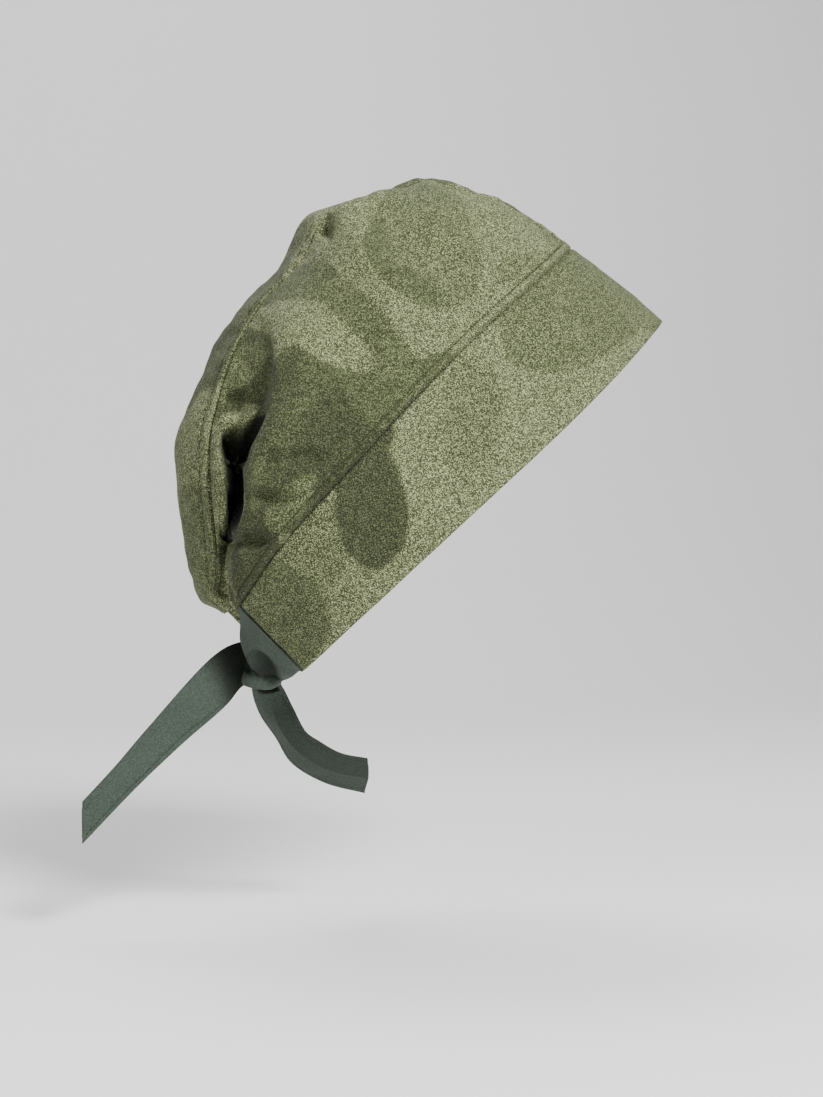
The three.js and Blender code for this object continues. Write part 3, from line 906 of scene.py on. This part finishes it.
def weave(tree, angle):
    cut = add_node(tree, "ShaderNodeUVMap", uv_map="cut")
    turned = add_node(tree, "ShaderNodeMapping", {"Vector": cut.outputs[0], "Rotation": (0, 0, angle)})
    scale = 2 * np.pi / (WAVE_TEXTURE_RATE * WEAVE["spacing"] * MM)
    return add_node(tree, "ShaderNodeTexWave",
                    {"Vector": turned.outputs[0], "Scale": scale, "Distortion": WEAVE["distortion"],
                     "Detail": WEAVE["detail"]}).outputs["Fac"]


def grain(tree, place):
    cells = add_node(tree, "ShaderNodeTexVoronoi", {"Vector": place, "Scale": 1 / (GRAIN * MM)})
    return add_node(tree, "ShaderNodeSeparateColor", {"Color": cells.outputs["Color"]}).outputs[0]


def finish_cloth(tree, colour, heights, depth, roughness, sheen):
    height = heights[0]
    for more in heights[1:]:
        height = add_node(tree, "ShaderNodeMath", {0: height, 1: more}, operation="ADD").outputs[0]
    bump = add_node(tree, "ShaderNodeBump",
                    {"Height": height, "Strength": CLOTH_SKIN["bump"], "Distance": depth * MM})
    skin = add_node(tree, "ShaderNodeBsdfPrincipled",
                    {"Base Color": colour, "Roughness": roughness, "Normal": bump.outputs[0],
                     "Specular IOR Level": CLOTH_SKIN["specular"],
                     "Sheen Weight": sheen, "Sheen Roughness": CLOTH_SKIN["sheen_roughness"]})
    add_node(tree, "ShaderNodeOutputMaterial", {"Surface": skin.outputs[0]})


print("ribs in mm:", WEAVE["spacing"], "grain in mm:", GRAIN)

# %% [markdown]
# Crown and band are cotton twill, woven and then printed. To the eye it is matt, with leaves whose
# edges break up between the threads and with pale and dark flecks all over, fewer pale ones where the
# print is dark. The finish reads the tone that the cloth carries, shifts it with noise and dyes one
# colour over another. Where the tone is below 0, deep in a fold, a nearly black painted shade is dyed
# over it. Two sets of ribs cross at right angles. Their angles are in radians.

# %% Printed twill
# The last colour is the nearly black painted shade for a tone below 0, deep in folds and in the ties' pocket
OLIVE = {"dark": "#282e18", "middle": "#394125", "light": "#474c31", "fleck": "#9ba276", "deep": "#12150b",
         "painted_shade": "#0a0d07"}
TONE_WAVER = {"size": 6, "detail": 4.0, "roughness": 0.6, "range": (0.25, 0.75), "shift": (-0.08, 0.08)}
TONE_STEPS = {"middle": (0.05, 0.5), "light": (0.5, 0.86), "painted_shade": (0.0, -0.9)}
PALE_FLECKS = {"grain": (0.58, 0.85), "tone": (0.1, 0.9), "share": (0.22, 1.0)}
DEEP_FLECKS = {"grain": (0.4, 0.0), "share": (0, 0.65)}
RIB_ANGLES = {"printed": (0.6, -0.97), "plain": 0.8}


def wavering_tone(tree, place):
    tone = add_node(tree, "ShaderNodeAttribute", attribute_name="tone").outputs["Fac"]
    noise = add_node(tree, "ShaderNodeTexNoise",
                     {"Vector": place, "Scale": 1 / (TONE_WAVER["size"] * MM), "Detail": TONE_WAVER["detail"],
                      "Roughness": TONE_WAVER["roughness"]})
    shift = add_node(tree, "ShaderNodeMapRange",
                     fading(noise.outputs["Fac"], TONE_WAVER["range"], TONE_WAVER["shift"]),
                     interpolation_type="SMOOTHSTEP")
    shifted = add_node(tree, "ShaderNodeMath", {0: tone, 1: shift.outputs["Result"]}, operation="ADD")
    return shifted.outputs[0]


def printed_twill():
    material, tree = new_material("cotton_twill_camouflage")
    place = add_node(tree, "ShaderNodeTexCoord").outputs["Object"]
    tone, fine = wavering_tone(tree, place), grain(tree, place)
    pale_share = add_node(tree, "ShaderNodeMapRange", fading(tone, PALE_FLECKS["tone"], PALE_FLECKS["share"]),
                          interpolation_type="SMOOTHSTEP").outputs["Result"]
    dyes = [("middle", tone, TONE_STEPS["middle"]), ("light", tone, TONE_STEPS["light"]),
            ("fleck", fine, PALE_FLECKS["grain"], (0, pale_share)),
            ("deep", fine, DEEP_FLECKS["grain"], DEEP_FLECKS["share"]),
            ("painted_shade", tone, TONE_STEPS["painted_shade"])]
    colour = linear(OLIVE["dark"])
    for name, *where in dyes:
        colour = dye(tree, colour, linear(OLIVE[name]), *where)
    ribs = [weave(tree, angle) for angle in RIB_ANGLES["printed"]]
    finish_cloth(tree, colour, [*ribs, fine], depth=0.25, roughness=0.88, sheen=0.03)
    return material


camouflage = printed_twill()
print("printed:", camouflage.name)

# %% [markdown]
# The other finishes have no print: the twill's reverse inside the cap, the ties and the sewing
# threads. One function makes them all, because they differ in little more than their colours. Only the
# ties read the tone as well, for the painted shade in and round the knot.

# %% Plain twill and thread
PLAIN_FLECKS = {"pale": (0.5, 1.0), "deep": (0.5, 0.0), "share": (0, 0.6)}


def plain_cloth(name, base, pale, deep, sheen, shaded=False):
    material, tree = new_material(name)
    place = add_node(tree, "ShaderNodeTexCoord").outputs["Object"]
    fine = grain(tree, place)
    colour = dye(tree, linear(base), linear(pale), fine, PLAIN_FLECKS["pale"], PLAIN_FLECKS["share"])
    colour = dye(tree, colour, linear(deep), fine, PLAIN_FLECKS["deep"], PLAIN_FLECKS["share"])
    if shaded:
        # Painted shade: where the tone is below 0 the ties are dyed nearly black
        tone = add_node(tree, "ShaderNodeAttribute", attribute_name="tone").outputs["Fac"]
        colour = dye(tree, colour, linear(OLIVE["painted_shade"]), tone, TONE_STEPS["painted_shade"])
    ribs = weave(tree, RIB_ANGLES["plain"])
    finish_cloth(tree, colour, [ribs, fine], depth=0.2, roughness=0.85, sheen=sheen)
    return material


# Little of a print comes through to the back of the twill, so the reverse is paler and more even
reverse = plain_cloth("cotton_twill_reverse", "#4f553d", "#666b51", "#3b402d", sheen=0.02)
# Dyed twill without a print: the ties are one dark green-grey, with painted shade nearly black where they are
# tucked in
dark_twill = plain_cloth("dark_cotton_twill", "#39433a", "#4d594f", "#293029", sheen=0.03, shaded=True)
# Spun polyester thread is a little paler than the cloth and makes a row of light dashes on the strip
thread = plain_cloth("polyester_thread_olive", "#6a6f50", "#8a8e6b", "#464b35", sheen=0.02)
# Sunk in the welt's line the same kind of thread gets painted shade: it is drawn deep olive
painted_shade_thread = plain_cloth("polyester_thread_olive_in_painted_shade", "#30361f", "#434930", "#1f2415", sheen=0.02)
# On the ties the thread is as dark as the cloth, so the hem hardly shows
dark_thread = plain_cloth("polyester_thread_dark", "#2a332e", "#3a4540", "#1d2420", sheen=0.02)
print("plain:", [m.name for m in (reverse, dark_twill, thread, painted_shade_thread, dark_thread)])

# %% [markdown]
# A stitch could be a dash in the material, but it stands up from the cloth and catches the light, so
# each one is a small block bedded in the cloth. A row of them follows a line at one distance from the
# edge of the cut, on the outer face or, one wall further in, on the inner one.

# %% Make a row of stitches
STITCH = {"pitch": 2.0, "length": 1.3, "width": 0.45, "height": 0.4, "bed": 0.05}


def line_in(piece, distance, start=0, wall=0):
    sheet, cut = SEWN[piece]
    apart = cut[..., 1]
    places = apart.max(axis=1) + distance if distance < 0 else apart.min(axis=1) + distance
    both = np.concatenate([sheet, facing(sheet)], -1)
    line = []
    for row, row_apart, at in zip(both, apart, places):
        order = np.argsort(row_apart)
        line.append(read_curve(row[order], row_apart[order], at))
    line = np.array(line)[cut[:, 0, 0] >= start]
    points, normals = line[:, :3], unit(line[:, 3:])
    return (points - wall * normals, -normals) if wall else (points, normals)


def stitch_row(bm, points, normals):
    length = run_length(points)
    for at in np.arange(STITCH["pitch"], length[-1] - STITCH["pitch"], STITCH["pitch"]):
        middle = read_curve(points, length, at)
        half = STITCH["length"] / 2
        way = unit(read_curve(points, length, at + half) - read_curve(points, length, at - half))
        out = unit(read_curve(normals, length, at))
        aside = np.cross(out, way)
        block = np.eye(4)
        block[:3, 0] = way * STITCH["length"] * MM
        block[:3, 1] = aside * STITCH["width"] * MM
        block[:3, 2] = out * STITCH["height"] * MM
        block[:3, 3] = (middle + out * STITCH["bed"]) * MM
        bmesh.ops.create_cube(bm, size=1, matrix=Matrix(block))


def stitches(name, rows, material):
    bm = bmesh.new()
    for row in rows:
        stitch_row(bm, *row)
    piece = new_piece(name, bm)
    piece.data.materials.append(material)
    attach(piece, "root")
    print(name, "stitches:", len(piece.data.polygons) // 6)
    return piece


print("stitch length in mm:", STITCH["length"])

# %% [markdown]
# Rows of stitches run along the seams: one on each long edge of the strip with a second further in,
# one above the band's seam and one on both faces of each tie's lower hem. A table of rows makes it easy
# to see which thread goes where.

# %% Stitches
SEAM_STITCH_PLACE = 0.9
STITCH_ROWS = {
    "band_seam_stitches": (painted_shade_thread, [("crown_side_right_cloth", WELT["line"]),
                                          ("crown_side_left_cloth", WELT["line"])]),
    "strip_seam_stitches": (thread, [("crown_top_strip_cloth", SEAM_STITCH_PLACE),
                                     ("crown_top_strip_cloth", -SEAM_STITCH_PLACE)]),
    "strip_top_stitches": (painted_shade_thread, [("crown_top_strip_cloth", STRIP_WELT["line"]),
                                          ("crown_top_strip_cloth", -STRIP_WELT["line"])]),
    "tie_hem_stitches": (dark_thread, [(tie, -TIE_HEM["place"], start, wall)
                                       for tie, start in (("tie_right_cloth", TAIL_START[-1]),
                                                          ("tie_left_cloth", TAIL_START[1]))
                                       for wall in (0, TIE_WALL)]),
}
for name, (colour, rows) in STITCH_ROWS.items():
    stitches(name, [line_in(*row) for row in rows], colour)

# %% [markdown]
# Each cloth takes the place of its solid and rides on the cap's only body. Its row also holds the
# size it was cut to, because folds and gathers hide that size. The band's size is the folded
# one.

SHEETS = [
    (right, "crown_side_right", (0.11, 0.285), 0.0225, "gathered", ["band"]),
    (left, "crown_side_left", (0.11, 0.285), 0.0225, "gathered", ["band"]),
    (strip, "crown_top_strip", (0.056, 0.336), 0.0172, "gathered", ["band"]),
    (band, "band", (0.053, 0.545), None, "folded", ["head_seat"]),
    (tie_right, "tie_right", (0.022, 0.12), None, "hung", ["band"]),
    (tie_left, "tie_left", (0.02, 0.195), 0.003, "hung", ["band"]),
]
for piece, node, flat, area, held, rests_on in SHEETS:
    outside, slot = (dark_twill, "tie_cloth") if node.startswith("tie") else (camouflage, "camouflage_cloth")
    piece.data.materials.append(outside)
    piece.data.materials.append(dark_twill if node.startswith("tie") else reverse)
    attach(piece, "root")
    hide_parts(node)
print("declared:", [row[1] for row in SHEETS])

# %% [markdown]
# The cap stands in a plain pale studio. A floor and a wall would meet in a line, so one sheet of paper
# sweeps up from the floor into the backdrop.

# %% Floor and backdrop
FLOOR = -0.187
SWEEP = {"half_width": 3.0, "front": -2.2, "back": 1.1, "radius": 0.7, "top": 2.6}
PAPER = {"colour": "#f6f6f6", "roughness": 0.9}


def sweep_point(share):
    flat = SWEEP["back"] - SWEEP["front"]
    bend = SWEEP["radius"] * np.pi / 2
    length = share * (flat + bend + SWEEP["top"])
    if length < flat:
        return SWEEP["front"] + length, FLOOR
    angle = min((length - flat) / SWEEP["radius"], np.pi / 2)
    y = SWEEP["back"] + SWEEP["radius"] * np.sin(angle)
    return y, FLOOR + SWEEP["radius"] * (1 - np.cos(angle)) + max(length - flat - bend, 0)


bm = bmesh.new()
bmesh.ops.create_grid(bm, x_segments=2, y_segments=60, size=1)
for vert in bm.verts:
    y, z = sweep_point((vert.co.y + 1) / 2)
    vert.co = (vert.co.x * SWEEP["half_width"], y, z)
for face in bm.faces:
    face.smooth = True
sweep = new_piece("studio_sweep", bm)
paper, tree = new_material("pale_paper")
# Uncoated paper is matt and nearly white
skin = add_node(tree, "ShaderNodeBsdfPrincipled",
                {"Base Color": linear(PAPER["colour"]), "Roughness": PAPER["roughness"]})
add_node(tree, "ShaderNodeOutputMaterial", {"Surface": skin.outputs[0]})
sweep.data.materials.append(paper)
print("floor in mm:", round(FLOOR / MM))

# %% [markdown]
# A key light stands high on the cap's right, a weaker one towards its back and a third above its left
# side. They are disks, because a broad lamp makes soft shadows. A little light comes from everywhere.

# %% Lights
LIGHTS = [
    ("key_light", (0.38, -1.22, 0.95), 0.5, 49),
    ("fill_light", (-1.3, -0.8, 0.7), 1.0, 8),
    ("top_light", (-0.2, 0.9, 1.7), 1.2, 26),
]
AIR = {"colour": "#e6e8ea", "strength": 0.12}
for name, place, size, power in LIGHTS:
    lamp = bpy.data.lights.new(name, "AREA")
    lamp.shape, lamp.size, lamp.energy = "DISK", size, power
    light = bpy.data.objects.new(name, lamp)
    light.location = place
    light.rotation_mode = "QUATERNION"
    light.rotation_quaternion = (-light.location).to_track_quat("-Z", "Y")
    bpy.context.scene.collection.objects.link(light)
world = bpy.data.worlds.new("studio_air")
world.use_nodes = True
world.node_tree.nodes["Background"].inputs["Color"].default_value = linear(AIR["colour"])
world.node_tree.nodes["Background"].inputs["Strength"].default_value = AIR["strength"]
bpy.context.scene.world = world
print("lights:", [row[0] for row in LIGHTS])

# %% [markdown]
# The camera looks level at the cap's right side, turned 13 degrees towards its back, from 0.9 m. These
# were worked out from the photograph, so that the cap's outline falls where the photograph has it.

# %% Camera
CAMERA_TURN = np.radians(13)
DISTANCE = 0.9
AIM = np.array([-0.020, 0, -0.021])
LENS = 65.6
SENSOR = 36
camera_data = bpy.data.cameras.new("photo_camera")
camera_data.lens = LENS
camera_data.sensor_width = SENSOR
camera = bpy.data.objects.new("photo_camera", camera_data)
camera.location = AIM - DISTANCE * np.array([np.sin(CAMERA_TURN), np.cos(CAMERA_TURN), 0])
camera.rotation_euler = (np.pi / 2, 0, -CAMERA_TURN)
bpy.context.scene.collection.objects.link(camera)
bpy.context.scene.camera = camera
print("camera at", [round(c, 3) for c in camera.location])
